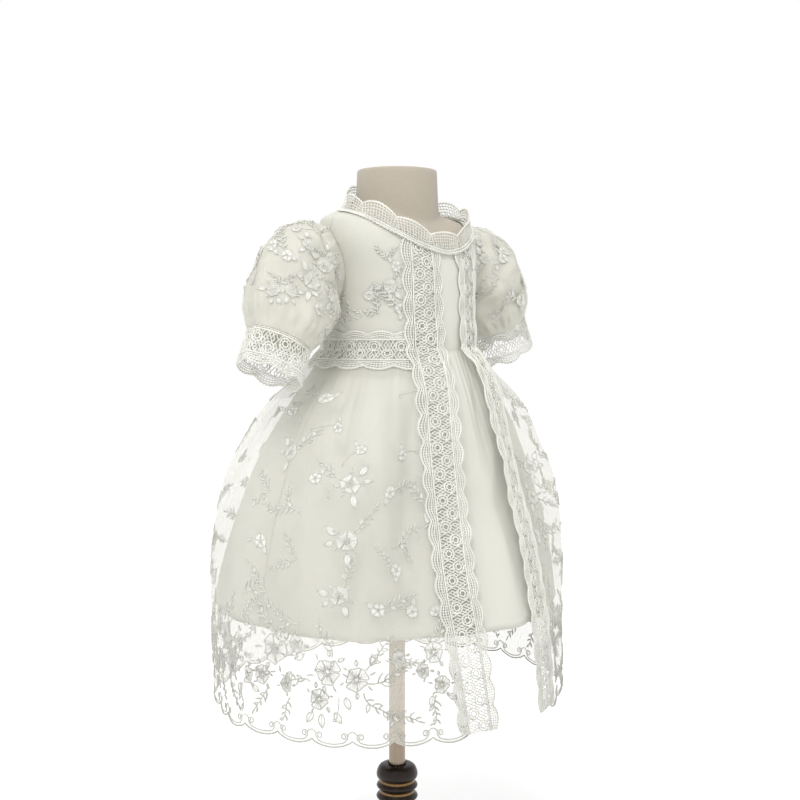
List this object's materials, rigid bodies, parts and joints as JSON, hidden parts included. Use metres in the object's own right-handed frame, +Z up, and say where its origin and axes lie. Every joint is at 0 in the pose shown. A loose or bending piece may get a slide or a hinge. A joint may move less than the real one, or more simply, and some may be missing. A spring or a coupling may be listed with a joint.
{
  "type": "christening gown on dress form",
  "caption": "Christening gown with puff sleeves, satin skirt, open sheer overskirt and scalloped lace trims, on a limbless child's dress form with a pole and turned base.",
  "frame": {"origin": "centre of the base's flat underside, on the pole's axis", "axes": "+Z up along the pole; -Y is the way the gown faces; +X is the wearer's left"},
  "size_m": [0.3828, 0.3398, 0.7472],
  "materials": {
    "satin": "soft ivory satin",
    "organza": "sheer embroidered net",
    "guipure": "matt guipure lace",
    "form_cloth": "plain woven linen",
    "pole_metal": "polished",
    "dark_wood": "dark varnish",
    "pearl": "pearly gloss"
  },
  "bodies": {
    "root": {"dress_form": "form_cloth", "pole": "pole_metal", "turned_neck": "dark_wood", "base_disc": "dark_wood", "bodice_front": "satin", "bodice_back_left": "satin", "bodice_back_right": "satin", "back_button_1": "pearl", "back_button_2": "pearl", "back_button_3": "pearl", "collar_lace": "guipure", "waist_trim_left": "guipure", "waist_trim_right": "guipure", "front_trim_left": "guipure", "front_trim_right": "guipure", "underskirt_front": "satin", "underskirt_back": "satin", "overskirt_front_right": "organza", "overskirt_back": "organza", "overskirt_front_left": "organza", "sleeve_left": "satin", "sleeve_right": "satin", "cuff_lace_left_front": "guipure", "cuff_lace_left_back": "guipure", "cuff_lace_right_front": "guipure", "cuff_lace_right_back": "guipure"}
  },
  "joints": []
}
